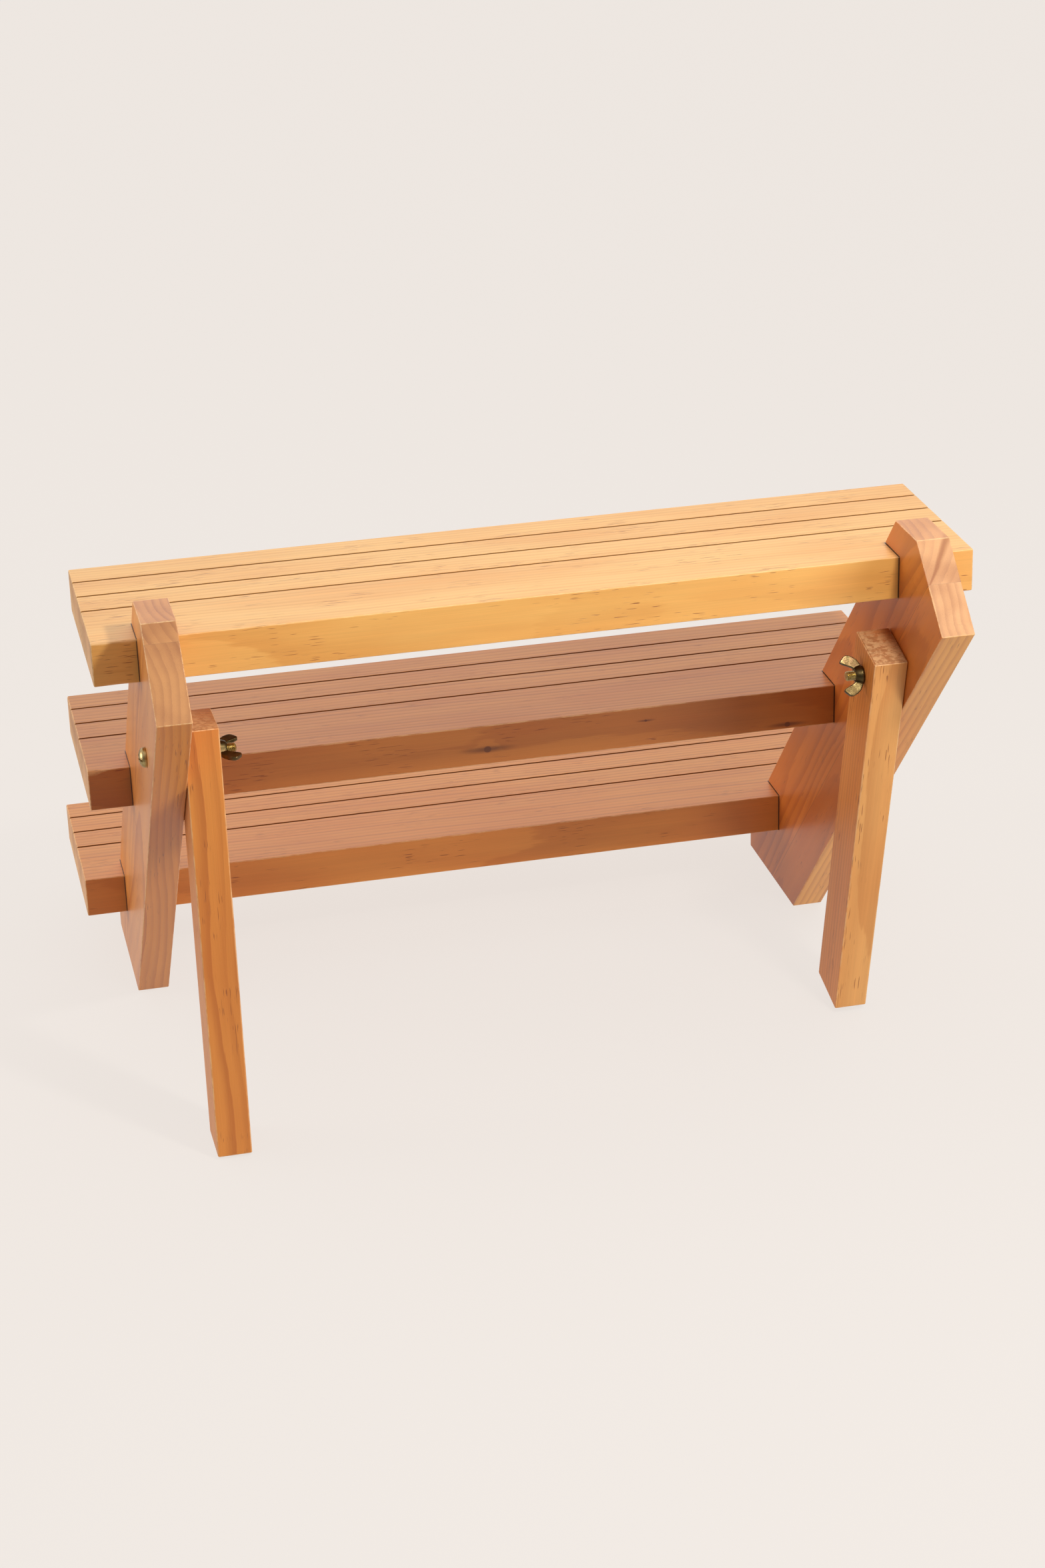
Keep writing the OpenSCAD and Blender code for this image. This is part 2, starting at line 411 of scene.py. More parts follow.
# How quickly each pattern of the wood changes, per millimetre along the grain, across it and through it
TRUNK_BENDS = (1 / 190, 1 / 55, 1 / 55)
RING_RAGS = (1 / 22, 1 / 2.2, 1 / 2.2)
FIBRES = (0.014, 1.9, 1.9)
STREAKS = (0.004, 0.16, 0.16)
CLOUDS = (1 / 120, 1 / 30, 1 / 30)
RESIN_TICKS = (0.085, 1.9, 1.9)
TICK_FLOCKS = (1 / 38, 1 / 14, 1 / 14)
PORES = (1.2, 4.6, 4.6)
SOAKED_PATCHES = (0.01, 0.045, 0.045)
RUBBED_PATCHES = (0.09, 0.3, 0.3)
SEED_SHIFT = (131.0, 57.0, 83.0)

RESIN = srgb(134, 66, 24)
KNOT_HEART = srgb(88, 38, 20)
GLUE_LINE = srgb(96, 52, 24)
# Painted shade for the gap where a board crosses a slat
JOINT_GAP_SHADE = srgb(44, 18, 10)
# Pale edge colour: worn varnish, and a painted highlight along every rounded edge
RUBBED_EDGE_AND_HIGHLIGHT = srgb(248, 208, 152)
# Darker colour on the walls and floors of the saw cuts
DARK_IN_CUTS = srgb(118, 62, 20)

# How strongly each of them shows, from 0 to 1
AMBER_SHOWS = 0.35
KNOT_SHOWS = 0.85
GLUE_SHOWS = 0.45
GAP_SHADE_SHOWS = 0.9
BAND_SHOWS = 0.75
END_SHOWS = 0.8
WEAR_AND_HIGHLIGHT_SHOWS = 0.6
DARK_IN_CUTS_SHOWS = 0.72


def growth_rings(p, place, shifted, x, pith, ring, slope, sway, knots):
    """The rings' dark latewood, and the knots that the rings swell round, both as masks from 0 to 1."""
    drift = p.noise(p.vector("MULTIPLY", shifted, TRUNK_BENDS), 1.5, 0.5, colour=True)
    bend = p.vector("MULTIPLY", p.vector("SUBTRACT", drift, (0.5, 0.5, 0.5)), (0, 2 * sway, 2 * sway))
    from_pith = p.vector("SUBTRACT", p.vector("ADD", place, bend), (0, pith[0], pith[1]))
    radius = p.plus(p.vector("LENGTH", p.vector("MULTIPLY", from_pith, (0, 1, 1))), p.times(x, slope))
    knot_mask = 0.0
    eye_stretch, eye_out, eye_in = 1.3, 1.0, 0.55
    streak_stretch, streak_out, streak_in, streak_shows = 7.5, 1.1, 0.1, 0.8
    swelling_out, swelling_in, swelling_by = 3.2, 0.3, 0.5
    for knot_x, knot_z, size in knots:
        apart = p.vector("SUBTRACT", place, (knot_x, 0, knot_z))
        distance = p.vector("LENGTH", p.vector("MULTIPLY", apart, (1 / eye_stretch, 0, 1)))
        swelling = p.ease(distance, size * swelling_out, size * swelling_in)
        radius = p.plus(radius, p.times(swelling, size * swelling_by))
        eye = p.ease(distance, size * eye_out, size * eye_in)
        lens = p.vector("LENGTH", p.vector("MULTIPLY", apart, (1 / streak_stretch, 0, 1)))
        streak = p.times(p.ease(lens, size * streak_out, size * streak_in), streak_shows)
        knot_mask = p.math("MAXIMUM", knot_mask, p.math("MAXIMUM", eye, streak))
    rag = 0.22 * ring
    count = p.math("DIVIDE", p.plus(radius, p.times(p.pattern(shifted, RING_RAGS), rag)), ring)
    phase = p.math("FRACT", count)
    lottery = p.node("ShaderNodeTexWhiteNoise")
    lottery.noise_dimensions = "1D"
    p.put(lottery.inputs["W"], p.math("FLOOR", count))
    palest = 0.35
    grade = p.plus(palest, p.times(lottery.outputs["Value"], 1 - palest))
    darkens_from, darkest_from, ends_from = 0.3, 0.9, 0.93
    latewood = p.times(p.ease(phase, darkens_from, darkest_from), p.ease(phase, 1.0, ends_from))
    return p.times(latewood, grade), knot_mask


def paint_face_light_and_shade(p, colour, spot, faces):
    """Paints light and shade onto flat faces: multiplies the colour by a tone on each of faces, below 1 for
    painted shade and above 1 for painted light. spot is the point's (x, y, z) in the plank.
    """
    fades_from, full_from = 0.9, 0.3
    for axis, face_at, tone in faces:
        out = p.times(spot[axis], math.copysign(1.0, face_at))
        on_face = p.ease(out, abs(face_at) - fades_from, abs(face_at) - full_from)
        colour = p.mix(on_face, colour, p.mix(1.0, colour, tone, "MULTIPLY"))
    return colour


def painted_joint_shade(p, x, y, z, joint):
    """Painted shade: a thin dark line where a board crosses a slat, standing in for the shade in the gap
    between them, only behind the notch's leaning front line.
    """
    inner_x, outer_x, front_y = joint
    gap_half, gap_core = 0.55, 0.3
    reach = p.math("ABSOLUTE", x)
    inner = p.math("ABSOLUTE", p.minus(reach, inner_x))
    outer = p.math("ABSOLUTE", p.minus(reach, outer_x))
    lean = p.times(p.minus(z, SLAT_T / 2), math.tan(BOARD_LEAN))
    behind = p.minus(p.minus(y, lean), front_y)
    return p.times(p.ease(p.math("MINIMUM", inner, outer), gap_half, gap_core), p.ease(behind, -0.2, 0.3))


def end_grain(p, shifted, y, z, latewood, end_rings, band, end_low, end_high):
    """Colour of the wood where it is cut across, and its pores. It drinks varnish in soft patches."""
    pores = p.pattern(shifted, PORES, 2, 0.6)
    soaked = p.pattern(shifted, SOAKED_PATCHES, 1)
    pale_base, pale_pores, pale_patches = 0.38, 0.24, 0.36
    pale = p.plus(p.times(p.ease(pores, 0.2, 0.8), pale_pores),
                  p.times(p.ease(soaked, 0.3, 0.66), pale_patches))
    drunk = p.mix(p.plus(pale, pale_base), end_low, end_high)
    colour = p.stain(drunk, end_low, latewood, end_rings)
    if band is not None:
        band_y, slant, half = band
        ragged, widening = 7.0, 0.07
        off = p.plus(p.minus(y, band_y), p.times(z, slant))
        off = p.plus(off, p.times(p.minus(soaked, 0.5), ragged))
        taper = p.plus(1.0, p.times(z, widening))
        stripe = p.ease(p.math("DIVIDE", p.math("ABSOLUTE", off), taper), half, half * 0.1)
        colour = p.stain(colour, end_low, stripe, BAND_SHOWS)
    return colour, pores


def wood(name, light, dark, pith, ring, seed, along=(1, 0, 0), slope=0.012, late=0.75, dashes=0.7,
         amber_tone=srgb(206, 130, 60), end_low=srgb(120, 66, 34), end_high=srgb(228, 172, 122), knots=(),
         seam=None, sway=6.0, turn=None, band=None, end_rings=0.4, joint=None, faces=(), coat=0.12):
    """Varnished softwood. Growth rings stand round a pith line at (y, z), ring millimetres apart.

    along: the grain's direction in the rack
    slope: how fast the rings drift outwards along the grain
    late, dashes, end_rings: how strongly latewood, resin dashes and the rings on end grain show
    knots: (x, z, size) of each, on the rear face
    seam: the place of a glue line across the width
    sway: how far the trunk bends
    turn: for CAD pieces, which have no kept points. It turns the rack's own coordinates about Z until X runs
        along the grain
    band: (y, slant, half width) of a dark stripe across the end grain
    joint: (from, to, front) for a slat that a board crosses near both ends. from and to are along the grain,
        front is the notch's front line at the upper face
    faces: (axis, place, tone) of each flat face that is painted darker or lighter, as painted shade and
    painted light
    coat: how glossy the varnish dried
    """
    p = Paint(name)
    coords = p.node("ShaderNodeTexCoord")
    if turn is None:
        place = p.kept_place()
    else:
        spin = p.node("ShaderNodeMapping")
        spin.inputs["Rotation"].default_value = (0, 0, turn)
        spin.inputs["Scale"].default_value = (1 / MM, 1 / MM, 1 / MM)
        p.put(spin.inputs["Vector"], coords.outputs["Object"])
        place = spin.outputs[0]
    x, y, z = p.parts(place)
    shifted = p.vector("ADD", place, tuple(seed * step for step in SEED_SHIFT))

    latewood, knot_mask = growth_rings(p, place, shifted, x, pith, ring, slope, sway, knots)
    fibres = p.pattern(shifted, FIBRES, 3, 0.6)
    streaks = p.pattern(shifted, STREAKS, 3, 0.55)
    clouds = p.pattern(shifted, CLOUDS)
    ticks = p.pattern(shifted, RESIN_TICKS, 0)
    flocks = p.pattern(shifted, TICK_FLOCKS, 1)
    dash = p.times(p.ease(ticks, 0.70, 0.77), p.ease(flocks, 0.50, 0.62))

    colour = p.stain(light, dark, latewood, late)
    colour = p.stain(colour, amber_tone, p.ease(clouds, 0.30, 0.76), AMBER_SHOWS)
    darkest, fibre_part, streak_part = 0.80, 0.22, 0.20
    shade = p.plus(darkest, p.plus(p.times(fibres, fibre_part), p.times(streaks, streak_part)))
    grey = p.node("ShaderNodeCombineColor")
    for socket in grey.inputs[:3]:
        p.put(socket, shade)
    colour = p.mix(1.0, colour, grey.outputs[0], "MULTIPLY")
    colour = p.stain(colour, RESIN, dash, dashes)
    if knots:
        colour = p.stain(colour, KNOT_HEART, knot_mask, KNOT_SHOWS)
    if seam is not None:
        line = p.ease(p.math("ABSOLUTE", p.minus(y, seam)), 0.35, 0.1)
        colour = p.stain(colour, GLUE_LINE, line, GLUE_SHOWS)
    # Painted shade and painted light on the flat faces listed in faces
    colour = paint_face_light_and_shade(p, colour, (x, y, z), faces)
    if joint is not None:
        # Painted shade: a dark line where the gap between board and slat would be in shade
        colour = p.stain(colour, JOINT_GAP_SHADE, painted_joint_shade(p, x, y, z, joint), GAP_SHADE_SHOWS)

    facing = p.vector("DOT_PRODUCT", coords.outputs["Normal"], tuple(along))
    end = p.ease(p.math("ABSOLUTE", facing), 0.6, 0.85)
    end_colour, pores = end_grain(p, shifted, y, z, latewood, end_rings, band, end_low, end_high)
    colour = p.stain(colour, end_colour, end, END_SHOWS)

    # Sharp edges lose varnish in places and carry a painted highlight all along; the saw cuts are darker
    # inside
    rub = p.pattern(shifted, RUBBED_PATCHES, 4, 0.65)
    # A painted highlight shows on every rounded edge at least this much; rubbed patches add the wear
    highlight_everywhere = 0.35
    worn_and_highlit = p.plus(highlight_everywhere, p.times(p.ease(rub, 0.40, 0.58), 1 - highlight_everywhere))
    wear_and_highlight = p.times(p.attribute("edge"), worn_and_highlit)
    colour = p.stain(colour, RUBBED_EDGE_AND_HIGHLIGHT, wear_and_highlight, WEAR_AND_HIGHLIGHT_SHOWS)
    # The walls and floors of the saw cuts are painted darker
    colour = p.stain(colour, DARK_IN_CUTS, p.attribute("cut"), DARK_IN_CUTS_SHOWS)
    p.put(p.shader.inputs["Base Color"], colour)

    smoothest, rough_fibres, rough_ends, rough_wear = 0.34, 0.16, 0.14, 0.2
    rough = p.plus(p.plus(smoothest, p.times(fibres, rough_fibres)), p.times(end, rough_ends))
    rough = p.math("ADD", rough, p.times(wear_and_highlight, rough_wear), clamp=True)
    p.put(p.shader.inputs["Roughness"], rough)
    p.shader.inputs["Coat Weight"].default_value = coat
    p.shader.inputs["Coat Roughness"].default_value = 0.26
    p.shader.inputs["Specular IOR Level"].default_value = 0.5
    fibre_relief, ring_relief, dash_relief, pore_relief = 0.5, 0.25, 0.7, 0.12
    relief = p.plus(p.times(fibres, fibre_relief), p.times(latewood, ring_relief))
    relief = p.minus(relief, p.times(dash, dash_relief))
    relief = p.plus(relief, p.times(p.times(pores, end), pore_relief))
    p.bump(relief, distance_m=0.00012, strength=0.8)
    return p.material


ZINC_SHIFT = 41.0
ZINC_BLOTCHES = (0.22, 0.22, 0.22)
ZINC_FILM = (0.12, 0.12, 0.12)
ZINC_GRIT = (3.1, 3.1, 3.1)


def yellow_zinc(name, seed, bright, dull):
    """Plated steel that has gone a little brown, with a faint reddish film and darker grit."""
    p = Paint(name)
    place = p.vector("ADD", p.kept_place(), (seed * ZINC_SHIFT, 0, 0))
    blotches = p.pattern(place, ZINC_BLOTCHES, 3, 0.6)
    film = p.pattern(place, ZINC_FILM)
    grit = p.pattern(place, ZINC_GRIT, 3, 0.65)
    colour = p.mix(p.ease(blotches, 0.35, 0.68), bright, dull)
    colour = p.stain(colour, srgb(140, 104, 78), p.ease(film, 0.52, 0.7), 0.35)
    colour = p.stain(colour, srgb(96, 72, 38), p.ease(grit, 0.58, 0.72), 0.4)
    p.put(p.shader.inputs["Base Color"], colour)
    p.shader.inputs["Metallic"].default_value = 1.0
    p.put(p.shader.inputs["Roughness"], p.plus(0.19, p.times(blotches, 0.24)))
    p.bump(p.plus(grit, p.times(blotches, 1.4)), distance_m=0.00008, strength=0.7)
    return p.material


# ---------------------------------------------------------------- wood, piece by piece

REAR_TOP_CORNER = 3
SLAT_CORNER_APART = 3.1


def slat_corners(x, seed, chips):
    """Cross-section of a slat at x: round-edged, with its saw cuts, centred on the slat's box.

    chips are (x, corner, added radius, reach along the grain) where an edge has broken away.
    """
    rear = SLAT_W / 2
    top = SLAT_T / 2
    half_kerf = KERF_W / 2

    def radius(corner):
        grown = SLAT_EDGE * edge_wander(x, seed + corner * SLAT_CORNER_APART)
        for chip_x, which, size, reach in chips:
            if which == corner:
                grown += size * math.exp(-(((x - chip_x) / reach) ** 2))
        return grown

    corners = [(rear, -top, radius(0), WORN_AND_HIGHLIT_SLAT), (-rear, -top, radius(1), WORN_AND_HIGHLIT_SLAT),
               (-rear, top, radius(2), WORN_AND_HIGHLIT_SLAT)]
    for n in range(KERF_COUNT):
        kerf_y = -rear + KERF_FIRST + n * KERF_PITCH
        corners += [(kerf_y - half_kerf, top, KERF_LIP, WORN_AND_HIGHLIT_KERF),
                    (kerf_y - half_kerf, top - KERF_DEPTH, KERF_FOOT, 0),
                    (kerf_y + half_kerf, top - KERF_DEPTH, KERF_FOOT, 0),
                    (kerf_y + half_kerf, top, KERF_LIP, WORN_AND_HIGHLIT_KERF)]
    corners.append((rear, top, radius(REAR_TOP_CORNER), WORN_AND_HIGHLIT_SLAT_REAR_TOP))
    return corners


def mark_cuts(piece):
    """Gives the walls and floors of the saw cuts their own attribute."""
    top = SLAT_T / 2
    reach = KERF_W / 2 + 0.05
    shallowest = 0.2
    deepest = KERF_DEPTH + 0.5
    cut = piece.data.attributes.new("cut", "FLOAT", "POINT")
    for i, vert in enumerate(piece.data.vertices):
        depth = top - vert.co.z / MM
        from_front = vert.co.y / MM + SLAT_W / 2
        in_kerf = any(abs(from_front - KERF_FIRST - n * KERF_PITCH) < reach for n in range(KERF_COUNT))
        cut.data[i].value = 1.0 if in_kerf and shallowest < depth < deepest else 0.0


def make_slat(node, seed, chips, material):
    place = plank_frame(middle(node), (1, 0, 0), (0, 1, 0))
    half = SLAT_LEN / 2
    stations = stick_stations(-half, half, lambda x: slat_corners(x, seed, chips), STICK_END, SLAT_STATION)
    piece = loft(node + "_board", stations)
    hole_x = half - SLAT_OVERHANG - BOARD_T / 2
    hole_y = SLAT_W / 2 - DOWEL_LEN / 4 + DOWEL_SLACK
    hole_radius = DOWEL_D / 2 + DOWEL_SLACK
    hole_len = DOWEL_LEN / 2 + 0.5
    drill(piece, [((side * hole_x, hole_y, 0), (0, 1, 0), hole_radius, hole_len) for side in (-1, 1)])
    mark_cuts(piece)
    set_in_place(piece, place)
    weigh_normals(piece)
    piece.data.materials.append(material)
    dress(piece, "rack", node)


def dress(piece, body, node):
    """Makes a piece move with its body and stand for its CAD node."""
    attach(piece, body)
    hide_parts(node)


def make_stave(node, seam, material):
    """A stave keeps the CAD outline, and gets round edges except along its glue seam."""
    weld = 0.002
    flat = math.radians(0.5)
    corner = math.radians(20)
    shortest = 2
    seam_slack = 0.01
    along, across = leaning(BOARD_LEAN)
    low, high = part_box(node)
    foot = Vector(((low.x + high.x) / 2 / MM, front_at_floor(), 0))
    place = plank_frame(foot, along, across)
    bm = bmesh.new()
    bm.from_mesh(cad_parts[node].data)
    bm.transform(Matrix.Scale(1 / MM, 4))
    bm.transform(place.inverted())
    bmesh.ops.remove_doubles(bm, verts=bm.verts, dist=weld)
    bmesh.ops.dissolve_limit(bm, angle_limit=flat, verts=bm.verts, edges=bm.edges)
    sharp = []
    for edge in bm.edges:
        if not edge.is_manifold or edge.calc_length() < shortest:
            continue
        on_seam = all(abs(vert.co.y - seam) < seam_slack for vert in edge.verts)
        if edge.calc_face_angle() > corner and not on_seam:
            sharp.append(edge)
    made = bmesh.ops.bevel(bm, geom=sharp, offset=STAVE_EDGE, offset_type="OFFSET", segments=ARC_STEPS,
                           profile=0.5, affect="EDGES", clamp_overlap=False)
    edge_layer = bm.verts.layers.float.new("edge")
    rounded = set(made["faces"])
    for vert in bm.verts:
        if vert.link_faces and all(f in rounded for f in vert.link_faces):
            vert[edge_layer] = WORN_AND_HIGHLIT_STAVE
    piece = finish_mesh(node + "_plank", bm)
    set_in_place(piece, place)
    weigh_normals(piece)
    piece.data.materials.append(material)
    dress(piece, "rack", node)


def front_at_floor():
    """Y where the line of the boards' front edge meets the floor, from the front of their flat top."""
    low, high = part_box("side_board_left_front_stave")
    top_slack_m = 0.0001
    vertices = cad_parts["side_board_left_front_stave"].data.vertices
    flat_front_m = min(vert.co.y for vert in vertices if vert.co.z > high.z - top_slack_m)
    return flat_front_m / MM - high.z / MM * math.tan(BOARD_LEAN)


LEG_CORNER_APART = 2.7


def leg_corners(x, seed):
    """Cross-section of a leg at x, with hand-rounded edges."""
    corners = []
    for n, (side_y, side_z) in enumerate(((1, -1), (1, 1), (-1, 1), (-1, -1))):
        radius = LEG_EDGE * edge_wander(x, seed + n * LEG_CORNER_APART)
        corners.append((side_y * LEG_W / 2, side_z * LEG_T / 2, radius, WORN_AND_HIGHLIT_LEG))
    return corners


def make_leg(node, body, pivot, set_angle, seed, material):
    along, across = leaning(set_angle)
    low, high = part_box(node)
    origin = Vector(((low.x + high.x) / 2 / MM, pivot.y, pivot.z))
    place = plank_frame(origin, along, across)
    stations = stick_stations(-LEG_DOWN, LEG_UP, lambda x: leg_corners(x, seed), STICK_END, LEG_STATION)
    piece = loft(node + "_stick", stations)
    right_through = LEG_T + 4
    drill(piece, [((0, 0, 0), (0, 0, 1), THREAD_D / 2 + BORE_SLACK, right_through)])
    set_in_place(piece, place)
    weigh_normals(piece)
    piece.data.materials.append(material)
    dress(piece, body, node)


# ---------------------------------------------------------------- hardware

def revolve(bm, profile, segments=48):
    """Closed solid of revolution round Z. profile runs (radius, z) from axis to axis."""
    on_axis = 1e-6
    rings = []
    for radius, z in profile:
        if radius < on_axis:
            rings.append([bm.verts.new((0, 0, z))])
        else:
            rings.append([bm.verts.new((radius * math.cos(a), radius * math.sin(a), z))
                          for a in (2 * math.pi * k / segments for k in range(segments))])
    for lower, upper in zip(rings, rings[1:]):
        for k in range(segments):
            j = (k + 1) % segments
            loop = [lower[k % len(lower)], lower[j % len(lower)]]
            loop += [upper[j % len(upper)], upper[k % len(upper)]]
            unique = list(dict.fromkeys(loop))
            if len(unique) > 2:
                bm.faces.new(unique)


def threaded_shank(bm, start, stop, segments=40):
    """Shank round Z from 0 to stop, with a helical thread from start to its bevelled tip."""
    crest = THREAD_D / 2 - 0.02
    root = crest - 0.56
    layer = THREAD_PITCH / 8
    plain_end = start - 0.6
    first_turn = start - 0.4
    steepness, sharpness = 2.6, 0.15
    tip_radius = root - 0.35
    tip_slope = 1.1
    heights = [0, plain_end]
    z = first_turn
    while z < stop - 0.01:
        heights.append(z)
        z += layer
    heights.append(stop)
    rings = []
    for z in heights:
        ring = []
        for k in range(segments):
            angle = 2 * math.pi * k / segments
            turn = (z / THREAD_PITCH - k / segments) % 1
            ridge = min(1, max(0, steepness * (0.5 - abs(turn - 0.5)) - sharpness))
            radius = crest if z <= plain_end else root + (crest - root) * ridge
            radius = min(radius, tip_radius + max(0, stop - z) * tip_slope)
            ring.append(bm.verts.new((radius * math.cos(angle), radius * math.sin(angle), z)))
        rings.append(ring)
    for lower, upper in zip(rings, rings[1:]):
        for k in range(segments):
            j = (k + 1) % segments
            bm.faces.new((lower[k], lower[j], upper[j], upper[k]))
    bm.faces.new(rings[0])
    bm.faces.new(rings[-1])


HEAD_RIM = 1.2
HEAD_CORNER = 0.3
HEAD_SHOULDER = 0.2
DOME_STEPS = 9
SLOT_W = 1.4
SLOT_DEPTH = 1.8
CROSS_SLOT_LEN = 5.6
HEAD_SHARP_DEG = 40
BOLT_SHARP_DEG = 38


def make_bolt(node, side, material):
    """Round-headed bolt with a driving slot and a short cross slot. Its head faces away from the rack."""
    low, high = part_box(node)
    pivot = middle(node)
    seat = (high.x if side > 0 else low.x) / MM - side * HEAD_H
    inward = Vector((-side, 0, 0))
    turn = Vector((0, 0, 1)).rotation_difference(inward).to_matrix().to_4x4()
    place = Matrix.Translation((seat, pivot.y, pivot.z)) @ turn
    radius = HEAD_D / 2
    profile = [(0, 0), (radius - HEAD_CORNER, 0), (radius, -HEAD_CORNER)]
    profile.append((radius, -HEAD_RIM + HEAD_SHOULDER))
    for n in range(DOME_STEPS):
        angle = math.pi / 2 * n / DOME_STEPS
        profile.append((radius * math.cos(angle), -HEAD_RIM - (HEAD_H - HEAD_RIM) * math.sin(angle)))
    profile.append((0, -HEAD_H))
    head = bmesh.new()
    revolve(head, profile)
    bolt = finish_mesh(node + "_metal", head, HEAD_SHARP_DEG)
    slots = bmesh.new()
    across_head = HEAD_D + 2
    for length, breadth in ((SLOT_W, across_head), (CROSS_SLOT_LEN, SLOT_W)):
        size = Matrix.Diagonal((length, breadth, 2 * SLOT_DEPTH, 1))
        bmesh.ops.create_cube(slots, size=1, matrix=Matrix.Translation((0, 0, -HEAD_H)) @ size)
    carve(bolt, finish_mesh(node + "_cutter", slots), crossing=True)
    bm = bmesh.new()
    bm.from_mesh(bolt.data)
    bm.transform(Matrix.Scale(1 / MM, 4))
    threaded_shank(bm, BOLT_LEN - THREAD_LEN, BOLT_LEN)
    bmesh.ops.recalc_face_normals(bm, faces=bm.faces)
    bm.transform(Matrix.Scale(MM, 4))
    bm.to_mesh(bolt.data)
    bm.free()
    bolt.data.shade_smooth()
    bolt.data.set_sharp_from_angle(angle=math.radians(BOLT_SHARP_DEG))
    bolt.data.materials.clear()
    bolt.data.materials.append(material)
    set_in_place(bolt, place)
    dress(bolt, "rack", node)


EAR_T = 2.4
CAST_GRAIN = 0.28
CAST_SOFTENING = 7
NUT_SHARP_DEG = 50


def ear_outline():
    """Side view of one wing, as (distance from the axis, height over the nut's seat)."""
    s = WING_SPAN / 2
    return [(2.4, 0.5), (s - 6.3, 0.6), (s - 3.5, 2.2), (s - 1.3, 4.6), (s - 0.2, 7), (s, 8.8),
            (s - 0.5, 9.9), (s - 2.1, 11.6), (s - 3.3, 12.6), (s - 4.2, 12.7), (s - 5, 11.8),
            (s - 5.9, 10), (s - 6.9, 7.6), (s - 8.1, 5.6), (2.4, 4.8)]


def wing_nut_mesh():
    """Mesh of the cast wing nut, seated at the origin: hub and two ears melted into one skin, then bored
    through for the bolt.
    """
    hub = [(0, 0), (5.4, 0), (5.5, 0.4), (5.4, 1.4), (4.8, 3.6), (4.4, NUT_H - 0.3), (4, NUT_H), (0, NUT_H)]
    bm = bmesh.new()
    revolve(bm, hub, segments=64)
    for way in (1, -1):
        sides = []
        for y in (-EAR_T / 2, EAR_T / 2):
            sides.append([bm.verts.new((way * out, y, up)) for out, up in ear_outline()])
        count = len(sides[0])
        for i in range(count):
            j = (i + 1) % count
            bm.faces.new((sides[0][i], sides[0][j], sides[1][j], sides[1][i]))
        bm.faces.new(sides[0])
        bm.faces.new(sides[1])
    bmesh.ops.recalc_face_normals(bm, faces=bm.faces)
    mesh = bpy.data.meshes.new("cast_nut")
    bm.to_mesh(mesh)
    bm.free()
    cast = bpy.data.objects.new("cast_nut", mesh)
    bpy.context.scene.collection.objects.link(cast)
    melt = cast.modifiers.new("melt", "REMESH")
    melt.mode = "VOXEL"
    melt.voxel_size = CAST_GRAIN
    melt.use_smooth_shade = True
    soften = cast.modifiers.new("soften", "SMOOTH")
    soften.factor = 0.5
    soften.iterations = CAST_SOFTENING
    bake_modifiers(cast)
    hole = bmesh.new()
    bore = THREAD_D / 2 + BORE_SLACK
    bmesh.ops.create_cone(hole, cap_ends=True, segments=48, radius1=bore, radius2=bore, depth=3 * NUT_H)
    cutter_mesh = bpy.data.meshes.new("tap")
    hole.to_mesh(cutter_mesh)
    hole.free()
    cutter = bpy.data.objects.new("tap", cutter_mesh)
    bpy.context.scene.collection.objects.link(cutter)
    carve(cast, cutter)
    mesh = cast.data
    bpy.data.objects.remove(cast)
    mesh.transform(Matrix.Scale(MM, 4))
    mesh.shade_smooth()
    mesh.set_sharp_from_angle(angle=math.radians(NUT_SHARP_DEG))
    return mesh


def make_wing_nut(node, body, side, mesh, pivot, set_angle, material):
    """Seats a wing nut on its leg's inner face, with its wings turned by set_angle about the bolt."""
    low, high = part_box(node)
    seat = (high.x if side > 0 else low.x) / MM
    inward = Matrix.Rotation(-side * math.pi / 2, 4, "Y")
    place = Matrix.Translation((seat, pivot.y, pivot.z)) @ Matrix.Rotation(set_angle, 4, "X") @ inward
    nut = bpy.data.objects.new(node + "_cast", mesh)
    bpy.context.scene.collection.objects.link(nut)
    set_in_place(nut, place)
    nut.data.materials.clear()
    nut.data.materials.append(material)
    dress(nut, body, node)


# ---------------------------------------------------------------- put together

# The top slat's palette is painted lighter, as painted light where the key lamp falls on it, and the middle
# slat's darker, as painted shade under the top slat; besides that they are the pines' own tones
LIT_HONEY = dict(light=srgb(234, 182, 110), dark=srgb(202, 136, 63), amber_tone=srgb(212, 130, 46))
SHADED_TAN = dict(light=srgb(209, 137, 66), dark=srgb(167, 92, 37), amber_tone=srgb(178, 92, 36))
CEDAR = dict(light=srgb(226, 150, 74), dark=srgb(184, 104, 44), amber_tone=srgb(198, 106, 38))
RUST = dict(light=srgb(222, 142, 62), dark=srgb(174, 92, 34), amber_tone=srgb(188, 98, 36))
PALE_ENDS = dict(end_low=srgb(134, 76, 44), end_high=srgb(222, 172, 124))
DEEP_ENDS = dict(end_low=srgb(120, 64, 32), end_high=srgb(200, 144, 88))
# The left leg's end colours are very dark as painted shade: they stand in for the board's shadow on the leg's
# top end
SAND_WITH_SHADED_ENDS = dict(light=srgb(226, 162, 92), dark=srgb(188, 116, 52), amber_tone=srgb(202, 118, 46),
            end_low=srgb(80, 26, 2), end_high=srgb(158, 68, 8))
ORANGE = dict(light=srgb(214, 134, 56), dark=srgb(172, 92, 30), amber_tone=srgb(186, 98, 32),
              end_low=srgb(122, 60, 20), end_high=srgb(200, 122, 52))

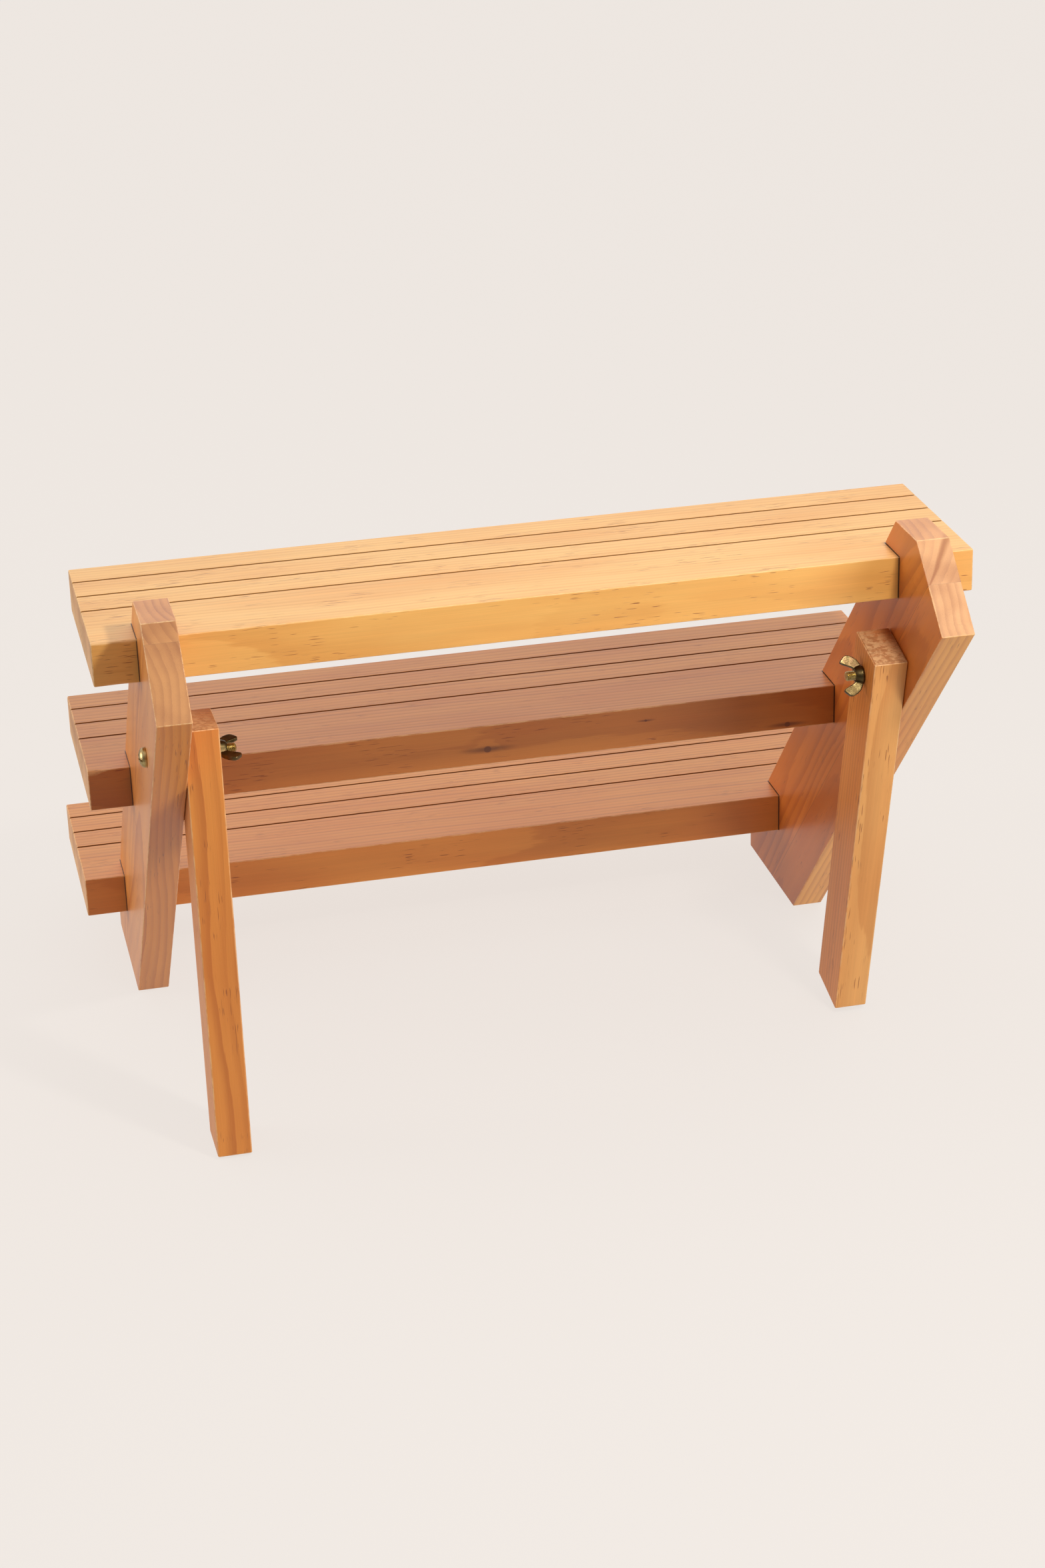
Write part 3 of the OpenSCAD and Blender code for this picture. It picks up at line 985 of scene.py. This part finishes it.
# Painted shade and painted light: tones that make flat faces darker or lighter than the rest of their board,
# standing in for how the light falls on them
TOP_REAR_PAINTED_SHADE = (0.97, 0.91, 0.71, 1)
MIDDLE_REAR_PAINTED_SHADE = (0.78, 0.67, 0.52, 1)
BOTTOM_REAR_PAINTED_SHADE = (0.89, 0.82, 0.66, 1)
BOARD_INNER_PAINTED_SHADE = (0.91, 0.70, 0.43, 1)
LEFT_BOARD_REAR_PAINTED_LIGHT = (1.24, 1.50, 1.75, 1)
RIGHT_BOARD_REAR_PAINTED_LIGHTING = (1.02, 1.0, 0.9, 1)
LEFT_LEG_INNER_PAINTED_SHADE = (1.04, 0.80, 0.52, 1)

# Knots are (x, z, size) on the rear face, chips are as in slat_corners
MIDDLE_KNOTS = ((12, -3, 2.8), (-90, 4, 1.0), (-183, -10, 2.2))
TOP_CHIPS = ((253, REAR_TOP_CORNER, 0.8, 7), (239, REAR_TOP_CORNER, 1.7, 4), (246, 0, 0.8, 8))
MIDDLE_CHIPS = ((258, REAR_TOP_CORNER, 3.4, 6),)
BOTTOM_CHIPS = ((-180, 2, 0.8, 12),)

BOARD_GLOSS = 0.4
BAND_FROM_SEAM = 15
BAND_SLANT = 1.57
BAND_HALF = 4.5

board_outer = SLAT_LEN / 2 - SLAT_OVERHANG
joint = (board_outer - BOARD_T, board_outer, SLAT_W / 2 - NOTCH_IN)
top_wood = wood("pine_top", **LIT_HONEY, pith=(-210, 14), ring=4.2, seed=1.0, slope=0.02, late=0.42, dashes=0.8,
                joint=joint, faces=((1, SLAT_W / 2, TOP_REAR_PAINTED_SHADE),))
mid_wood = wood("pine_middle", **SHADED_TAN, pith=(-190, 22), ring=4.8, seed=2.0, slope=0.016, late=0.65,
                knots=MIDDLE_KNOTS, joint=joint, faces=((1, SLAT_W / 2, MIDDLE_REAR_PAINTED_SHADE),))
low_wood = wood("pine_bottom", **CEDAR, pith=(-240, -20), ring=4.4, seed=3.3, slope=0.018, late=0.65,
                joint=joint, faces=((1, SLAT_W / 2, BOTTOM_REAR_PAINTED_SHADE),))
make_slat("slat_top", 1.0, TOP_CHIPS, top_wood)
make_slat("slat_middle", 2.0, MIDDLE_CHIPS, mid_wood)
make_slat("slat_bottom", 3.0, BOTTOM_CHIPS, low_wood)

board_along = leaning(BOARD_LEAN)[0]
for side, word, seam in ((-1, "left", SEAM_IN_LEFT), (1, "right", SEAM_IN_RIGHT)):
    is_left = side < 0
    ends = PALE_ENDS if is_left else DEEP_ENDS
    shared = dict(along=board_along, seam=seam, coat=BOARD_GLOSS, **RUST, **ends)
    # Painted shade on each board's inner face and painted light on its rear edge
    inner_painted_shade = (2, side * BOARD_T / 2, BOARD_INNER_PAINTED_SHADE)
    rear_painted_light = (1, BOARD_W, LEFT_BOARD_REAR_PAINTED_LIGHT if is_left else RIGHT_BOARD_REAR_PAINTED_LIGHTING)
    band = (seam - BAND_FROM_SEAM, BAND_SLANT, BAND_HALF) if is_left else None
    front_wood = wood(f"pine_{word}_front", **shared, pith=(seam * 0.2, 46 * side), ring=5.2,
                      seed=5.0 + side, slope=0.022, sway=8, end_rings=0.15 if is_left else 0.4,
                      faces=(inner_painted_shade,), band=band)
    rear_wood = wood(f"pine_{word}_rear", **shared, pith=(70, -95 * side), ring=4.6, seed=8.0 + side,
                     slope=0.018, sway=7, faces=(inner_painted_shade, rear_painted_light))
    make_stave(f"side_board_{word}_front_stave", seam, front_wood)
    make_stave(f"side_board_{word}_rear_stave", seam, rear_wood)

pivot = middle("bolt_left")
left_leg_wood = wood("pine_leg_left", **SAND_WITH_SHADED_ENDS, pith=(120, 16), ring=3.8, seed=11.0, dashes=0.85,
                     along=leaning(LEG_LEFT_SET)[0], faces=((2, -LEG_T / 2, LEFT_LEG_INNER_PAINTED_SHADE),))
right_leg_wood = wood("pine_leg_right", **ORANGE, pith=(90, -40), ring=4.4, seed=13.0, dashes=0.8,
                      along=leaning(LEG_RIGHT_SET)[0])
make_leg("leg_left", "left_leg", pivot, LEG_LEFT_SET, 11, left_leg_wood)
make_leg("leg_right", "right_leg", pivot, LEG_RIGHT_SET, 12, right_leg_wood)

zinc = yellow_zinc("yellow_zinc_bolts", 1, srgb(222, 204, 146), srgb(176, 152, 96))
make_bolt("bolt_left", -1, zinc)
make_bolt("bolt_right", 1, zinc)
nut_mesh = wing_nut_mesh()
nut_zinc = yellow_zinc("yellow_zinc_nuts", 2, srgb(104, 90, 58), srgb(76, 61, 37))
make_wing_nut("wing_nut_left", "left_wing_nut", -1, nut_mesh.copy(), pivot, WING_LEFT_SET, nut_zinc)
make_wing_nut("wing_nut_right", "right_wing_nut", 1, nut_mesh.copy(), pivot, WING_RIGHT_SET, nut_zinc)

beech = wood("beech_dowel", light=srgb(226, 190, 148), dark=srgb(196, 150, 106), pith=(9, 12), ring=1.6,
             seed=17.0, along=(0, 1, 0), turn=math.radians(-90))
for tier in ("top", "middle", "bottom"):
    for word in ("left", "right"):
        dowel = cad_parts[f"dowel_{tier}_{word}"]
        dowel.data.materials.clear()
        dowel.data.materials.append(beech)


# ---------------------------------------------------------------- studio

PALE = srgb(239, 232, 226)
WORLD_BASE = 0.02
WORLD_ABOVE = 0.84
WORLD_BEYOND = 0.95
FLOOR_RADIUS_M = 40
FLOOR_SEEN = 0.88
FLOOR_GLOW_NEAR = 0.58
FLOOR_GLOW_FAR = 0.30
GLOW_NEAR_M = 0.30
GLOW_FAR_M = 0.95

CAMERA_PLACE_M = Vector((0.382, 1.822, 0.977))
CAMERA_AIM_M = Vector((-0.0122, 0.0127, 0.1475))
CAMERA_ROLL = math.radians(-1.74)
CAMERA_SENSOR = 36
CAMERA_LENS = 73.75


def add_floor():
    """Pale sweep that glows a little itself, so that shadows on it stay faint.

    It lights the rack less than it shows, as a backdrop far behind a lit object does.
    """
    bm = bmesh.new()
    bmesh.ops.create_circle(bm, cap_ends=True, segments=96, radius=FLOOR_RADIUS_M)
    mesh = bpy.data.meshes.new("floor")
    bm.to_mesh(mesh)
    bm.free()
    floor = bpy.data.objects.new("floor", mesh)
    bpy.context.scene.collection.objects.link(floor)
    p = Paint("pale_floor")
    p.shader.inputs["Base Color"].default_value = srgb(86, 84, 82)
    p.shader.inputs["Roughness"].default_value = 0.9
    p.shader.inputs["Specular IOR Level"].default_value = 0.1
    p.shader.inputs["Emission Color"].default_value = PALE
    spot = p.node("ShaderNodeTexCoord")
    far = p.ease(p.vector("LENGTH", spot.outputs["Object"]), GLOW_NEAR_M, GLOW_FAR_M)
    glow = p.plus(FLOOR_GLOW_NEAR, p.times(far, FLOOR_GLOW_FAR - FLOOR_GLOW_NEAR))
    path = p.node("ShaderNodeLightPath")
    brighter = p.times(path.outputs["Is Camera Ray"], p.minus(FLOOR_SEEN, glow))
    p.put(p.shader.inputs["Emission Strength"], p.plus(glow, brighter))
    mesh.materials.append(p.material)


def add_area(name, place_m, aim_m, size_m, watts, colour):
    """Round soft lamp that the camera doesn't see."""
    light = bpy.data.lights.new(name, "AREA")
    light.shape = "DISK"
    light.size = size_m
    light.energy = watts
    light.color = colour
    lamp = bpy.data.objects.new(name, light)
    bpy.context.scene.collection.objects.link(lamp)
    lamp.location = place_m
    lamp.visible_camera = False
    lamp.rotation_euler = (Vector(aim_m) - Vector(place_m)).to_track_quat("-Z", "Y").to_euler()


def add_world():
    """Soft light, strongest from above and from beyond the rack's front.

    Seen directly, it has the floor's tone.
    """
    world = bpy.data.worlds.new("studio")
    world.use_nodes = True
    tree = world.node_tree

    def math_node(operation, a, b):
        n = tree.nodes.new("ShaderNodeMath")
        n.operation = operation
        for socket, value in zip(n.inputs, (a, b)):
            if isinstance(value, float):
                socket.default_value = value
            else:
                tree.links.new(value, socket)
        return n.outputs[0]

    coords = tree.nodes.new("ShaderNodeTexCoord")
    split = tree.nodes.new("ShaderNodeSeparateXYZ")
    tree.links.new(coords.outputs["Generated"], split.inputs[0])
    above = math_node("MULTIPLY", math_node("MAXIMUM", split.outputs["Z"], 0.0), WORLD_ABOVE)
    forward = math_node("MULTIPLY", split.outputs["Y"], -1.0)
    beyond = math_node("MULTIPLY", math_node("MAXIMUM", forward, 0.0), WORLD_BEYOND)
    strength = math_node("ADD", math_node("ADD", above, beyond), WORLD_BASE)
    soft = tree.nodes["Background"]
    soft.inputs["Color"].default_value = srgb(252, 250, 248)
    tree.links.new(strength, soft.inputs["Strength"])
    seen = tree.nodes.new("ShaderNodeBackground")
    seen.inputs["Color"].default_value = PALE
    path = tree.nodes.new("ShaderNodeLightPath")
    choose = tree.nodes.new("ShaderNodeMixShader")
    tree.links.new(path.outputs["Is Camera Ray"], choose.inputs[0])
    tree.links.new(soft.outputs[0], choose.inputs[1])
    tree.links.new(seen.outputs[0], choose.inputs[2])
    tree.links.new(choose.outputs[0], tree.nodes["World Output"].inputs[0])
    bpy.context.scene.world = world


def add_camera():
    data = bpy.data.cameras.new("camera")
    data.sensor_width = CAMERA_SENSOR
    data.lens = CAMERA_LENS
    camera = bpy.data.objects.new("camera", data)
    bpy.context.scene.collection.objects.link(camera)
    look = (CAMERA_AIM_M - CAMERA_PLACE_M).to_track_quat("-Z", "Y").to_matrix().to_4x4()
    camera.matrix_world = Matrix.Translation(CAMERA_PLACE_M) @ look @ Matrix.Rotation(CAMERA_ROLL, 4, "Z")
    bpy.context.scene.camera = camera


add_floor()
add_world()
add_area("key", (-0.28, 0.76, 0.99), (0, 0.1, 0.3), size_m=0.10, watts=6.0, colour=(1.0, 0.97, 0.92))
add_area("fill", (-1.5, 2.3, 0.40), (0, 0, 0.15), size_m=1.2, watts=30, colour=(1.0, 0.98, 0.96))
add_area("side", (2.4, -0.5, 0.50), (0, 0, 0.15), size_m=1.2, watts=22, colour=(1.0, 0.98, 0.97))
add_camera()
bpy.context.scene.view_settings.view_transform = "Standard"
